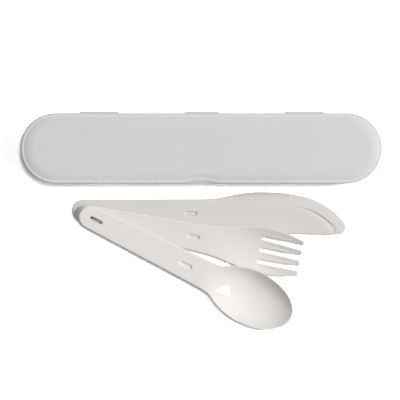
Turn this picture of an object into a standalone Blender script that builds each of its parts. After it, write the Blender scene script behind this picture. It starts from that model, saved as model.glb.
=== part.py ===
"""Reusable cutlery pack: a pill-shaped clamshell case with a living hinge, a knife, a fork and a spoon.

Metres, +Z up. The origin is the centre of the case's underside. The case lies along X, with its
hinge on the +Y side. The three utensils lie on the -Y side, stacked at their handle ends and fanned.
"""
import math

import bmesh
import bpy
from mathutils import Euler, Vector
from mathutils.geometry import delaunay_2d_cdt

# Clearance between pieces that touch
GAP = 0.0003

# Case: outline, heights and walls
CASE_LENGTH = 0.230
CASE_WIDTH = 0.045
CASE_WALL = 0.0018
FLANGE_OVERHANG = 0.0010
FLANGE_THICKNESS = 0.0016
BASE_HEIGHT = 0.012
BASE_EDGE_RADIUS = 0.004
BASE_DRAFT = 0.0006
LID_HEIGHT = 0.0097
LID_CROWN_WIDTH = 0.0060
LID_CROWN_TILT = math.radians(20.0)
LID_LEDGE_WIDTH = 0.0008
LID_EDGE_RADIUS = 0.0011
LIP_THICKNESS = 0.0008
LIP_HEIGHT = 0.0008
END_ARC_STEPS = 20
EDGE_ARC_STEPS = 4
CROWN_STEPS = 4

# Thumb scoop at the middle of the front edge
SCOOP_WIDTH = 0.022
SCOOP_DEPTH = 0.0020
LID_NOTCH_DEPTH = 0.0005
BASE_NOTCH_DEPTH = 0.0004
SCOOP_STEPS = 10

# Living hinge: three thin webs on the back edge
WEB_PROTRUSION = 0.0015
WEB_THICKNESS = 0.0005
WEB_HEIGHT = 0.0027
WEB_SIDE_WIDTH = 0.026
WEB_MIDDLE_WIDTH = 0.0227
WEB_SIDE_OFFSET = 0.0653
WEB_END_SLANT = 0.0008
WEB_ARC_STEPS = 8

# What the three utensils share
HANDLE_EDGE_RADIUS = 0.0004
SLOT_FROM_END = 0.0118
SLOT_LENGTH = 0.0087
SLOT_WIDTH = 0.0021
POCKET_FROM_END = 0.0756
POCKET_LENGTH = 0.0083
POCKET_WIDTH = 0.0027
POCKET_DEPTH = 0.0012
ROUND_END_STEPS = 5
REST_FROM_END = 0.010

# Knife
KNIFE_LENGTH = 0.1748
KNIFE_THICKNESS = 0.0022
KNIFE_HANDLE_HALF = 0.0075
KNIFE_NECK_HALF = 0.0095
KNIFE_NECK_AT = 0.0845
BLADE_BELLY_HALF = 0.0155
BLADE_SPINE_HALF = 0.0117
SPINE_BLEND = 0.012
# The cutting edge from the neck to the tip: shares of the blade's length and of its belly's half width
CUTTING_EDGE_SHAPE = (
    (0.088, 0.663),
    (0.17, 0.773),
    (0.32, 0.924),
    (0.46, 0.948),
    (0.60, 0.898),
    (0.74, 0.748),
    (0.85, 0.468),
    (0.93, 0.137),
    (0.986, -0.20),
    (1.0, -0.385),
)
TIP_HEEL_SHAPE = ((0.988, -0.64), (0.93, -0.73))
BEVEL_WIDTH = 0.0063
BEVEL_DEPTH = 0.0007
BEVEL_RUN_IN = 0.012
BEVEL_FROM_POINT = 2
KNIFE_END = Vector((-0.0825, -0.0398))
KNIFE_HEADING = math.radians(-1.3)

# Fork
FORK_LENGTH = 0.1459
FORK_THICKNESS = 0.0022
FORK_TIP_THICKNESS = 0.0015
FORK_HANDLE_HALF = 0.0072
FORK_NECK_HALF = 0.0089
FORK_NECK_AT = 0.075
FORK_HEAD_HALF = 0.0149
FORK_TIP_HALF = 0.0117
# The head from the neck to the tips: shares of its length and of its greatest half width
FORK_HEAD_SHAPE = ((0.20, 0.667), (0.38, 0.825), (0.53, 0.955), (0.67, 1.0), (0.81, 0.95))
FORK_DIP_AT = 0.082
FORK_BELLY_DROP = 0.0030
FORK_BELLY_AT = 0.117
FORK_TIP_RISE = 0.003
FORK_RISE_POWER = 1.8
FORK_DISH = 0.0036
TINE_ROOT_AT = 0.1192
TINE_GAP_ROOT = 0.0020
TINE_GAP_TIP = 0.0028
TINE_GAP_OFFSET_ROOT = 0.0076
TINE_GAP_OFFSET_TIP = 0.0068
FORK_END = Vector((-0.0794, -0.0415))
FORK_HEADING = math.radians(-11.2)
FORK_ROLL = math.radians(5.0)

# Spoon
SPOON_LENGTH = 0.1508
SPOON_THICKNESS = 0.0022
SPOON_HANDLE_HALF = 0.0072
SPOON_NECK_HALF = 0.0093
SPOON_NECK_AT = 0.0910
BOWL_LENGTH = 0.058
BOWL_WIDTH = 0.0346
BOWL_DEPTH = 0.0080
BOWL_START_AT = 0.0870
BOWL_DEEPEST_AT = 0.1230
BOWL_FLOOR_THICKNESS = 0.0018
NECK_BLEND = 0.0022
SPOON_END = Vector((-0.0775, -0.0406))
SPOON_HEADING = math.radians(-26.6)

# Fineness of the utensils' surfaces
BLADE_STEPS = 3
FORK_SIDE_STEPS = 3
OUTLINE_STEPS = 30
GRID_SPACING = 0.0030
PLAN_SCALE = 1000.0
SHARP_EDGE_ANGLE = math.radians(35.0)

PLASTIC_COLOURS = {
    "case": (0.640, 0.625, 0.630),
    "web": (0.610, 0.600, 0.605),
    "knife": (0.660, 0.635, 0.610),
    "fork": (0.740, 0.715, 0.690),
    "spoon": (0.760, 0.735, 0.710),
}
PLASTIC_ROUGHNESS = {"case": 0.45, "web": 0.5, "knife": 0.4, "fork": 0.4, "spoon": 0.4}


def clear_scene():
    for item in list(bpy.data.objects):
        bpy.data.objects.remove(item, do_unlink=True)


def plastic(piece):
    """The moulded plastic of one piece, in its own colour."""
    material = bpy.data.materials.new(piece + "_plastic")
    material.use_nodes = True
    shader = material.node_tree.nodes["Principled BSDF"]
    shader.inputs["Base Color"].default_value = (*PLASTIC_COLOURS[piece], 1.0)
    shader.inputs["Roughness"].default_value = PLASTIC_ROUGHNESS[piece]
    shader.inputs["Metallic"].default_value = 0.0
    material.diffuse_color = (*PLASTIC_COLOURS[piece], 1.0)
    return material


def add_object(name, mesh_data, material, origin=(0.0, 0.0, 0.0)):
    """Turn a bmesh into a named object with outward faces and smooth shading, turning about its origin."""
    bmesh.ops.recalc_face_normals(mesh_data, faces=mesh_data.faces)
    bmesh.ops.translate(mesh_data, vec=-Vector(origin), verts=mesh_data.verts)
    mesh = bpy.data.meshes.new(name)
    mesh_data.to_mesh(mesh)
    mesh_data.free()
    mesh.shade_smooth()
    mesh.set_sharp_from_angle(angle=SHARP_EDGE_ANGLE)
    mesh.materials.append(material)
    item = bpy.data.objects.new(name, mesh)
    item.location = origin
    bpy.context.scene.collection.objects.link(item)
    return item


def smoothstep(value):
    value = min(1.0, max(0.0, value))
    return value * value * (3.0 - 2.0 * value)


def arc_points(centre, radii, start, end, steps):
    """Points of an elliptical arc, both ends included."""
    points = []
    for step in range(steps + 1):
        angle = start + (end - start) * step / steps
        points.append((centre[0] + radii[0] * math.cos(angle), centre[1] + radii[1] * math.sin(angle)))
    return points


# The case shells are stacks of pill-shaped rings

def pill_spokes():
    """Pairs of a point on the case's middle line and the direction in which the rings grow from it."""
    half = (CASE_LENGTH - CASE_WIDTH) / 2
    spokes = []
    for step in range(END_ARC_STEPS + 1):
        angle = -math.pi / 2 + math.pi * step / END_ARC_STEPS
        spokes.append((half, Vector((math.cos(angle), math.sin(angle)))))
    for step in range(END_ARC_STEPS + 1):
        angle = math.pi / 2 + math.pi * step / END_ARC_STEPS
        spokes.append((-half, Vector((math.cos(angle), math.sin(angle)))))
    for step in range(SCOOP_STEPS + 1):
        spokes.append((SCOOP_WIDTH * (step / SCOOP_STEPS - 0.5), Vector((0.0, -1.0))))
    return spokes


def scoop_shape(middle, direction):
    """How much of the scoop's depth applies at a spoke: an arch across the middle of the front."""
    if abs(direction.x) > 1e-6 or direction.y > 0.0:
        return 0.0
    return max(0.0, 1.0 - (2.0 * middle / SCOOP_WIDTH) ** 2)


def pill_shell(name, rings, material, origin=(0.0, 0.0, 0.0)):
    """Skin a shell through rings of (radius, height, inward shift at the scoop)."""
    spokes = pill_spokes()
    mesh_data = bmesh.new()
    loops = []
    for radius, height, shift in rings:
        loop = []
        for middle, direction in spokes:
            reach = radius - shift * scoop_shape(middle, direction)
            loop.append(mesh_data.verts.new((middle + reach * direction.x, reach * direction.y, height)))
        loops.append(loop)
    for lower, upper in zip(loops, loops[1:]):
        for here in range(len(spokes)):
            after = (here + 1) % len(spokes)
            mesh_data.faces.new((lower[here], lower[after], upper[after], upper[here]))
    mesh_data.faces.new(loops[0])
    mesh_data.faces.new(loops[-1])
    return add_object(name, mesh_data, material, origin)


def case_base(material):
    """The tray: rounded underside, drafted wall, rim flange and the lip that the lid fits over."""
    rim = CASE_WIDTH / 2
    wall = rim - FLANGE_OVERHANG
    foot = wall - BASE_DRAFT
    inside = wall - CASE_WALL
    inside_foot = foot - CASE_WALL
    inner_radius = BASE_EDGE_RADIUS - CASE_WALL
    flange_under = BASE_HEIGHT - FLANGE_THICKNESS
    rings = []
    centre = (foot - BASE_EDGE_RADIUS, BASE_EDGE_RADIUS)
    for radius, height in arc_points(centre, (BASE_EDGE_RADIUS,) * 2, -math.pi / 2, 0.0, EDGE_ARC_STEPS):
        rings.append((radius, height, 0.0))
    rings.append((wall, flange_under, 0.0))
    rings.append((rim, flange_under, BASE_NOTCH_DEPTH))
    rings.append((rim, BASE_HEIGHT, BASE_NOTCH_DEPTH))
    rings.append((inside + LIP_THICKNESS, BASE_HEIGHT, 0.0))
    rings.append((inside + LIP_THICKNESS, BASE_HEIGHT + LIP_HEIGHT, 0.0))
    rings.append((inside, BASE_HEIGHT + LIP_HEIGHT, 0.0))
    centre = (inside_foot - inner_radius, CASE_WALL + inner_radius)
    for radius, height in arc_points(centre, (inner_radius,) * 2, 0.0, -math.pi / 2, EDGE_ARC_STEPS):
        rings.append((radius, height, 0.0))
    return pill_shell("case_base", rings, material)


def lid_shoulder(wall, top, edge_radius, notch):
    """Rings from the lid's flat top over its crown, ledge and round edge to a wall, drawn in at the scoop."""
    ledge_end = wall - edge_radius
    crown_start = ledge_end - LID_LEDGE_WIDTH - LID_CROWN_WIDTH
    crown_radius = LID_CROWN_WIDTH / math.sin(LID_CROWN_TILT)
    centre = (crown_start, top - crown_radius)
    crown = arc_points(centre, (crown_radius,) * 2, math.pi / 2, math.pi / 2 - LID_CROWN_TILT, CROWN_STEPS)
    ledge_height = crown[-1][1]
    rings = []
    for radius, height in crown + [(ledge_end, ledge_height)]:
        drawn_in = smoothstep((radius - crown_start) / (ledge_end - crown_start))
        rings.append((radius, height, SCOOP_DEPTH * drawn_in))
    centre = (ledge_end, ledge_height - edge_radius)
    edge = arc_points(centre, (edge_radius,) * 2, math.pi / 2, 0.0, EDGE_ARC_STEPS)
    for radius, height in edge[1:]:
        high = (height - centre[1]) / edge_radius
        rings.append((radius, height, notch + (SCOOP_DEPTH - notch) * high))
    return rings


def case_lid(material):
    """The cover: flat top, crowned shoulder, ledge, round edge and a straight wall over the tray's lip."""
    rim = CASE_WIDTH / 2
    inside = rim - FLANGE_OVERHANG - CASE_WALL + LIP_THICKNESS + GAP
    under = BASE_HEIGHT + GAP
    top = under + LID_HEIGHT
    rings = lid_shoulder(rim, top, LID_EDGE_RADIUS, LID_NOTCH_DEPTH)
    rings.append((rim, under, LID_NOTCH_DEPTH))
    rings.append((inside, under, 0.0))
    rings += reversed(lid_shoulder(inside, top - CASE_WALL, LID_EDGE_RADIUS / 2, 0.0))
    return pill_shell("case_lid", rings, material, hinge_axis())


def hinge_axis():
    """A point on the line about which the lid turns: the middle of the webs' thickness at their bend."""
    return (0.0, CASE_WIDTH / 2 + WEB_PROTRUSION - WEB_THICKNESS / 2, BASE_HEIGHT + GAP / 2)


def hinge_web(name, middle, width, material):
    """A thin web that loops from the tray's flange to the lid's, with slanted ends."""
    face = CASE_WIDTH / 2 + GAP
    reach = CASE_WIDTH / 2 + WEB_PROTRUSION - face
    centre = (face, BASE_HEIGHT + GAP / 2)
    outer = arc_points(centre, (reach, WEB_HEIGHT / 2), -math.pi / 2, math.pi / 2, WEB_ARC_STEPS)
    inner_radii = (reach - WEB_THICKNESS, WEB_HEIGHT / 2 - WEB_THICKNESS)
    inner = arc_points(centre, inner_radii, math.pi / 2, -math.pi / 2, WEB_ARC_STEPS)
    section = outer + inner
    mesh_data = bmesh.new()
    loops = []
    for side in (-1.0, 1.0):
        loop = []
        for out, height in section:
            slant = WEB_END_SLANT * (out - face) / reach
            loop.append(mesh_data.verts.new((middle + side * (width / 2 - slant), out, height)))
        loops.append(loop)
    count = len(section)
    for here in range(count):
        after = (here + 1) % count
        mesh_data.faces.new((loops[0][here], loops[0][after], loops[1][after], loops[1][here]))
    for here in range(WEB_ARC_STEPS):
        back = count - 1 - here
        for loop in loops:
            mesh_data.faces.new((loop[here], loop[here + 1], loop[back - 1], loop[back]))
    return add_object(name, mesh_data, material)


# The utensils are plates: a plan outline, holes and pockets, and a height over each point of the plan

def smooth_path(points, steps):
    """A centripetal Catmull-Rom curve through the points, without its last point."""
    guide = [Vector(p) for p in points]
    guide.insert(0, 2 * guide[0] - guide[1])
    guide.append(2 * guide[-1] - guide[-2])
    path = []
    for p0, p1, p2, p3 in zip(guide, guide[1:], guide[2:], guide[3:]):
        t1 = (p1 - p0).length ** 0.5
        t2 = t1 + (p2 - p1).length ** 0.5
        t3 = t2 + (p3 - p2).length ** 0.5
        for step in range(steps):
            t = t1 + (t2 - t1) * step / steps
            a1 = p0.lerp(p1, t / t1)
            a2 = p1.lerp(p2, (t - t1) / (t2 - t1))
            a3 = p2.lerp(p3, (t - t2) / (t3 - t2))
            b1 = a1.lerp(a2, t / t2)
            b2 = a2.lerp(a3, (t - t1) / (t3 - t1))
            path.append(b1.lerp(b2, (t - t1) / (t2 - t1)))
    return path


def round_bar(start, length, width):
    """A bar with round ends along the utensil, as a counter-clockwise loop."""
    radius = width / 2
    near = arc_points((start - length / 2 + radius, 0.0), (radius, radius), math.pi / 2, 3 * math.pi / 2,
                      ROUND_END_STEPS)
    far = arc_points((start + length / 2 - radius, 0.0), (radius, radius), -math.pi / 2, math.pi / 2,
                     ROUND_END_STEPS)
    return [Vector(p) for p in near + far]


def inset(loop, distance):
    """Move a counter-clockwise loop inwards, or outwards where the distance is negative."""
    moved = []
    for here, point in enumerate(loop):
        before = (point - loop[here - 1]).normalized()
        after = (loop[(here + 1) % len(loop)] - point).normalized()
        normal = Vector((-before.y - after.y, before.x + after.x)).normalized()
        spread = max(0.5, normal.dot(Vector((-after.y, after.x))))
        moved.append(point + normal * distance / spread)
    return moved


def inside_loop(point, loop):
    """Whether the point is inside the closed loop."""
    inside = False
    for here, a in enumerate(loop):
        b = loop[here - 1]
        if (a.y > point.y) != (b.y > point.y):
            if point.x < (b.x - a.x) * (point.y - a.y) / (b.y - a.y) + a.x:
                inside = not inside
    return inside


def distance_to_path(point, path):
    """Shortest distance from the point to an open path."""
    best = 1.0
    for a, b in zip(path, path[1:]):
        span = b - a
        along = min(1.0, max(0.0, (point - a).dot(span) / span.length_squared))
        best = min(best, (point - a - span * along).length)
    return best


def grid_points(outer, holes, lines, start, spacing):
    """A triangular grid of points in the outer loop, clear of holes and lines, from start onwards."""
    xs = [p.x for p in outer]
    ys = [p.y for p in outer]
    row_pitch = spacing * math.sqrt(3.0) / 2
    paths = [loop + loop[:1] for loop in [outer] + holes] + lines
    points = []
    row = 0
    while start + row * row_pitch < max(xs):
        x = start + row * row_pitch
        count = int((max(ys) - min(ys)) / spacing) + 2
        for column in range(-count, count + 1):
            point = Vector((x, (column + 0.5 * (row % 2)) * spacing))
            if not inside_loop(point, outer):
                continue
            if any(inside_loop(point, hole) for hole in holes):
                continue
            if min(distance_to_path(point, path) for path in paths) > spacing / 2:
                points.append(point)
        row += 1
    return points


def fill_cap(mesh_data, rings, lines, extra, height):
    """Triangulate between rings of existing vertices, with creases and extra points in between."""
    verts = [v for ring in rings for v in ring]
    plan = [Vector((v.co.x, v.co.y)) for v in verts]
    edges = []
    first = 0
    for ring in rings:
        for here in range(len(ring)):
            edges.append((first + here, first + (here + 1) % len(ring)))
        first += len(ring)
    for line in lines:
        edges += [(len(plan) + here, len(plan) + here + 1) for here in range(len(line) - 1)]
        plan += line
    plan += extra
    scaled = [p * PLAN_SCALE for p in plan]
    out, _, faces, origins, _, _ = delaunay_2d_cdt(scaled, edges, [], 1, 1e-6, True)
    outer, *holes = [[Vector((v.co.x, v.co.y)) for v in ring] for ring in rings]
    made = {}
    for face in faces:
        middle = sum((out[corner] for corner in face), Vector((0.0, 0.0))) / (3.0 * PLAN_SCALE)
        if not inside_loop(middle, outer) or any(inside_loop(middle, hole) for hole in holes):
            continue
        corners = []
        for corner in face:
            if corner not in made:
                source = min(origins[corner]) if origins[corner] else len(verts)
                if source < len(verts):
                    made[corner] = verts[source]
                else:
                    place = out[corner] / PLAN_SCALE
                    made[corner] = mesh_data.verts.new((place.x, place.y, height(place)))
            corners.append(made[corner])
        mesh_data.faces.new(corners)


def ring_at(mesh_data, loop, height):
    return [mesh_data.verts.new((p.x, p.y, height(p))) for p in loop]


def join_rings(mesh_data, rings):
    for low, high in zip(rings, rings[1:]):
        for here in range(len(low)):
            after = (here + 1) % len(low)
            mesh_data.faces.new((low[here], low[after], high[after], high[here]))


def edge_band(mesh_data, loop, top, under, radius):
    """The rounded side of a plate or hole: its rings from the top face to the underside."""
    def edge(p):
        return min(abs(radius), (top(p) - under(p)) / 3)

    inner = inset(loop, radius)
    rings = [
        ring_at(mesh_data, inner, top),
        ring_at(mesh_data, loop, lambda p: top(p) - edge(p)),
        ring_at(mesh_data, loop, lambda p: under(p) + edge(p)),
        ring_at(mesh_data, inner, under),
    ]
    join_rings(mesh_data, rings)
    return rings[0], rings[-1]


def plate(name, outline, top, under, lines, grid_start, material):
    """A utensil from its outline and heights, with the hanging slot and the pocket at the neck."""
    mesh_data = bmesh.new()
    slot = round_bar(SLOT_FROM_END, SLOT_LENGTH, SLOT_WIDTH)
    pocket = round_bar(POCKET_FROM_END, POCKET_LENGTH, POCKET_WIDTH)
    outer_top, outer_under = edge_band(mesh_data, outline, top, under, HANDLE_EDGE_RADIUS)
    slot_top, slot_under = edge_band(mesh_data, slot, top, under, -HANDLE_EDGE_RADIUS / 2)
    pocket_top = ring_at(mesh_data, pocket, top)
    pocket_floor = ring_at(mesh_data, pocket, lambda p: top(p) - POCKET_DEPTH)
    join_rings(mesh_data, [pocket_top, pocket_floor])
    mesh_data.faces.new(pocket_floor)
    inner = inset(outline, HANDLE_EDGE_RADIUS)
    extra = grid_points(inner, [slot, pocket], lines, grid_start, GRID_SPACING)
    fill_cap(mesh_data, [outer_top, slot_top, pocket_top], lines, extra, top)
    fill_cap(mesh_data, [outer_under, slot_under], lines, extra, under)
    return add_object(name, mesh_data, material)


def set_down(item, end, heading, roll, lift, drop, at):
    """Rest a utensil's handle end at its lift, and its belly, which drops below the handle, on the table."""
    slope = (drop - lift) / (at - REST_FROM_END)
    item.rotation_mode = "XYZ"
    item.rotation_euler = Euler((roll, -math.atan(slope), heading), "XYZ")
    item.location = (end.x, end.y, lift - REST_FROM_END * slope)


def handle_end(half):
    """The round handle end, from its point on the middle line to where its upper side starts."""
    return [Vector(p) for p in arc_points((half, 0.0), (half, half), math.pi, math.pi / 2, ROUND_END_STEPS)]


# Knife

def blade_points(shape):
    blade = KNIFE_LENGTH - KNIFE_NECK_AT
    return [(KNIFE_NECK_AT + along * blade, across * BLADE_BELLY_HALF) for along, across in shape]


def knife_blade_path():
    """The blade's outline from the neck along the cutting edge, around the tip and back along the spine."""
    spine = -BLADE_SPINE_HALF
    heel = blade_points(TIP_HEEL_SHAPE)
    spine_ends = (heel[-1][0] - SPINE_BLEND, KNIFE_NECK_AT + 2 * SPINE_BLEND)
    points = [(KNIFE_NECK_AT, KNIFE_NECK_HALF)]
    points += blade_points(CUTTING_EDGE_SHAPE)
    points += heel
    points.append((spine_ends[0], spine))
    points.append((sum(spine_ends) / 2, spine))
    points.append((spine_ends[1], spine))
    points.append((KNIFE_NECK_AT + SPINE_BLEND, (2 * spine - KNIFE_NECK_HALF) / 3))
    points.append((KNIFE_NECK_AT, -KNIFE_NECK_HALF))
    return points


def knife(material):
    """A table knife with one convex, bevelled edge and a straight back."""
    end = handle_end(KNIFE_HANDLE_HALF)
    blade = smooth_path(knife_blade_path(), BLADE_STEPS)
    back = [Vector((p.x, -p.y)) for p in reversed(end[1:])]
    path = end + blade + [Vector((KNIFE_NECK_AT, -KNIFE_NECK_HALF))] + back
    outline = list(reversed(path))
    cutting_edge = blade[:len(CUTTING_EDGE_SHAPE) * BLADE_STEPS + 1]
    creased = cutting_edge[BEVEL_FROM_POINT * BLADE_STEPS + 1:]
    crease = [moved for moved, p in zip(inset(outline, BEVEL_WIDTH), outline) if p in creased]

    def bevel(p):
        near = max(0.0, 1.0 - distance_to_path(p, cutting_edge) / BEVEL_WIDTH)
        return BEVEL_DEPTH * near * smoothstep((p.x - KNIFE_NECK_AT) / BEVEL_RUN_IN)

    def top(p):
        return KNIFE_THICKNESS - bevel(p)

    def under(p):
        return bevel(p)

    item = plate("knife", outline, top, under, [crease], KNIFE_LENGTH, material)
    set_down(item, KNIFE_END, KNIFE_HEADING, 0.0, 0.0, 0.0, KNIFE_LENGTH)
    return item


# Fork

def fork_side():
    """The fork's half width from the neck to the round end of the outer tine."""
    head = FORK_LENGTH - FORK_NECK_AT
    points = [(FORK_NECK_AT, FORK_NECK_HALF)]
    points += [(FORK_NECK_AT + along * head, across * FORK_HEAD_HALF) for along, across in FORK_HEAD_SHAPE]
    points.append((FORK_LENGTH - TINE_GAP_TIP / 2, FORK_TIP_HALF))
    return points


def tine_tip(low, high):
    """The round end of a tine between two widths, from the higher to the lower one."""
    radius = (high - low) / 2
    centre = (FORK_LENGTH - radius, (high + low) / 2)
    arc = arc_points(centre, (radius, radius), math.pi / 2, -math.pi / 2, ROUND_END_STEPS)
    return [Vector(p) for p in arc]


def tine_root(offset):
    """The round root of the gap between two tines, from its upper to its lower side."""
    root = TINE_GAP_ROOT / 2
    centre = (TINE_ROOT_AT + root, offset)
    arc = arc_points(centre, (root, root), math.pi / 2, 3 * math.pi / 2, ROUND_END_STEPS)
    return [Vector(p) for p in arc]


def fork_outline():
    """Round handle end, neck, and a head of four tines, as a counter-clockwise loop."""
    half_gap = TINE_GAP_TIP / 2
    end = handle_end(FORK_HANDLE_HALF)
    side = smooth_path(fork_side(), FORK_SIDE_STEPS)
    path = end + side
    root_offsets = (TINE_GAP_OFFSET_ROOT, 0.0, -TINE_GAP_OFFSET_ROOT)
    tip_offsets = (TINE_GAP_OFFSET_TIP, 0.0, -TINE_GAP_OFFSET_TIP)
    high = FORK_TIP_HALF
    for root, tip in zip(root_offsets, tip_offsets):
        path += tine_tip(tip + half_gap, high)
        path += tine_root(root)
        high = tip - half_gap
    path += tine_tip(-FORK_TIP_HALF, high)
    path += [Vector((p.x, -p.y)) for p in reversed(end[1:] + side)]
    return list(reversed(path))


def fork_middle(x):
    """Height of the fork's underside along its middle line: straight handle, belly, rising tines."""
    if x < FORK_BELLY_AT:
        return -FORK_BELLY_DROP * smoothstep((x - FORK_DIP_AT) / (FORK_BELLY_AT - FORK_DIP_AT))
    rise = (x - FORK_BELLY_AT) / (FORK_LENGTH - FORK_BELLY_AT)
    return -FORK_BELLY_DROP + (FORK_BELLY_DROP + FORK_TIP_RISE) * rise ** FORK_RISE_POWER


def fork(material):
    """A fork with four tines and a shallow dished head, resting on the knife's handle."""
    def under(p):
        dish = FORK_DISH * smoothstep((p.x - FORK_DIP_AT) / (FORK_BELLY_AT - FORK_DIP_AT))
        return fork_middle(p.x) + dish * (p.y / FORK_HEAD_HALF) ** 2

    def top(p):
        thin = smoothstep((p.x - FORK_BELLY_AT) / (FORK_LENGTH - FORK_BELLY_AT))
        return under(p) + FORK_THICKNESS + (FORK_TIP_THICKNESS - FORK_THICKNESS) * thin

    item = plate("fork", fork_outline(), top, under, [], FORK_DIP_AT, material)
    sag = (FORK_HEAD_HALF * math.tan(FORK_ROLL)) ** 2 / (4 * FORK_DISH)
    set_down(item, FORK_END, FORK_HEADING, FORK_ROLL, fork_lift(), FORK_BELLY_DROP + sag, FORK_BELLY_AT)
    return item


def fork_lift():
    """Height of the fork's handle end, clear of the knife with its lower edge."""
    return KNIFE_THICKNESS + GAP + FORK_HANDLE_HALF * math.sin(FORK_ROLL)


# Spoon

def spoon_half_width(x):
    """Half width of the spoon: round handle end, tapering handle, and an elliptical bowl."""
    slope = (SPOON_NECK_HALF - SPOON_HANDLE_HALF) / (SPOON_NECK_AT - SPOON_HANDLE_HALF)
    handle = SPOON_HANDLE_HALF + slope * (x - SPOON_HANDLE_HALF)
    if x < SPOON_HANDLE_HALF:
        handle = math.sqrt(max(0.0, SPOON_HANDLE_HALF ** 2 - (SPOON_HANDLE_HALF - x) ** 2))
    along = (x - SPOON_LENGTH + BOWL_LENGTH / 2) / (BOWL_LENGTH / 2)
    bowl = BOWL_WIDTH / 2 * math.sqrt(max(0.0, 1.0 - along ** 2))
    if along > 0.0:
        return bowl
    blend = NECK_BLEND * smoothstep((x - POCKET_FROM_END) / (SPOON_NECK_AT - POCKET_FROM_END))
    return (handle + bowl + math.sqrt((handle - bowl) ** 2 + blend ** 2)) / 2


def spoon_outline():
    """The spoon's outline as a counter-clockwise loop, with its points closer at both ends."""
    lower = []
    for step in range(OUTLINE_STEPS + 1):
        x = SPOON_LENGTH * (1.0 - math.cos(math.pi * step / OUTLINE_STEPS)) / 2
        lower.append(Vector((x, -spoon_half_width(x))))
    upper = [Vector((p.x, -p.y)) for p in reversed(lower[1:-1])]
    return lower + upper


def bowl_share(p):
    """How much of the bowl's depth applies: from a smooth start at the neck to a steep far rim."""
    half = spoon_half_width(p.x)
    if half == 0.0 or p.x <= BOWL_START_AT:
        return 0.0
    across = max(0.0, 1.0 - (p.y / half) ** 2)
    if p.x < BOWL_DEEPEST_AT:
        return across * smoothstep((p.x - BOWL_START_AT) / (BOWL_DEEPEST_AT - BOWL_START_AT))
    return across * (1.0 - ((p.x - BOWL_DEEPEST_AT) / (SPOON_LENGTH - BOWL_DEEPEST_AT)) ** 2)


def spoon(material):
    """A spoon with a deep oval bowl, resting on the fork's handle."""
    def top(p):
        return SPOON_THICKNESS - BOWL_DEPTH * bowl_share(p)

    def under(p):
        thin = (SPOON_THICKNESS - BOWL_FLOOR_THICKNESS) * bowl_share(p)
        return top(p) - SPOON_THICKNESS + thin

    item = plate("spoon", spoon_outline(), top, under, [], BOWL_START_AT, material)
    drop = BOWL_DEPTH + BOWL_FLOOR_THICKNESS - SPOON_THICKNESS
    fork_top = fork_lift() + FORK_THICKNESS + FORK_HANDLE_HALF * math.sin(FORK_ROLL)
    set_down(item, SPOON_END, SPOON_HEADING, 0.0, fork_top + GAP, drop, BOWL_DEEPEST_AT)
    return item


def main():
    clear_scene()
    case_plastic = plastic("case")
    case_base(case_plastic)
    case_lid(case_plastic)
    web_plastic = plastic("web")
    hinge_web("hinge_web_left", -WEB_SIDE_OFFSET, WEB_SIDE_WIDTH, web_plastic)
    hinge_web("hinge_web_middle", 0.0, WEB_MIDDLE_WIDTH, web_plastic)
    hinge_web("hinge_web_right", WEB_SIDE_OFFSET, WEB_SIDE_WIDTH, web_plastic)
    knife(plastic("knife"))
    fork(plastic("fork"))
    spoon(plastic("spoon"))


main()
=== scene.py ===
"""The looks of the cutlery pack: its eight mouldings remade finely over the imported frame.

Metres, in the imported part's own frame. The case lies along X with its hinge on the +Y side, and the
three utensils lie on the -Y side, stacked at their handle ends and fanned.
"""
import math

import bmesh
import bpy
import numpy as np
from mathutils import Euler, Matrix, Vector
from mathutils.geometry import delaunay_2d_cdt


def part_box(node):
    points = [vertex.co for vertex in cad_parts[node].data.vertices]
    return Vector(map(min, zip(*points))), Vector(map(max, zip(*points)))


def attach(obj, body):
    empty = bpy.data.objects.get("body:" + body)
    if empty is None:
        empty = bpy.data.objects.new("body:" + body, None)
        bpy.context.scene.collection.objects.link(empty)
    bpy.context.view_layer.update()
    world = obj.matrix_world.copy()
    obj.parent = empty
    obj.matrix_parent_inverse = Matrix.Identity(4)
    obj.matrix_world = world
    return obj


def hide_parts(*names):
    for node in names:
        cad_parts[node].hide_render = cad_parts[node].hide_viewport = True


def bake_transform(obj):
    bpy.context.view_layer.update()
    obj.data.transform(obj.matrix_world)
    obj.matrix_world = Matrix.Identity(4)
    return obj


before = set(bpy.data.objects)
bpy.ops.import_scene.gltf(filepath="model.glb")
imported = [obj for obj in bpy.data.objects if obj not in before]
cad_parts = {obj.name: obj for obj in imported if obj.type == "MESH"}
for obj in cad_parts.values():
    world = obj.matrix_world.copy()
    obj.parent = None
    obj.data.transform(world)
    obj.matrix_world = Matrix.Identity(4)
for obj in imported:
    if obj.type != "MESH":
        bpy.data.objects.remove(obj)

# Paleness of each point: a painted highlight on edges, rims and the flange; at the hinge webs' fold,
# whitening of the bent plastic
HIGHLIGHT_AND_WEAR = "painted_highlight_and_wear"
TINY = 1e-6
SHARP_ANGLE = math.radians(40.0)

# Case sizes that the frame gives
TRAY_LOW, TRAY_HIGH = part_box("case_base")
LID_LOW, LID_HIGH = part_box("case_lid")
CASE_LENGTH = TRAY_HIGH.x - TRAY_LOW.x
CASE_WIDTH = TRAY_HIGH.y - TRAY_LOW.y
LID_UNDER = LID_LOW.z
LID_TOP = LID_HIGH.z
LIP_TOP = TRAY_HIGH.z

# Case sections, and how far their corners are rounded
GAP = 0.0003
CASE_WALL = 0.0018
FLANGE_OVERHANG = 0.0010
FLANGE_THICKNESS = 0.0016
TRAY_TOP = LID_UNDER - GAP
TRAY_EDGE_RADIUS = 0.004
TRAY_DRAFT = 0.0006
LID_CROWN_WIDTH = 0.0060
LID_CROWN_TILT = math.radians(20.0)
LID_LEDGE_WIDTH = 0.0008
LID_EDGE_RADIUS = 0.0011
LIP_THICKNESS = 0.0008
FLAT_MARGIN = 0.0006
FLANGE_ROUNDING = 0.00018
LEDGE_ROUNDING = 0.00025
CORNER_ROUNDING = 0.00015
LIP_ROUNDING = 0.00015
END_ARC_STEPS = 56
EDGE_ARC_STEPS = 10
ROUNDING_STEPS = 4

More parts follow.
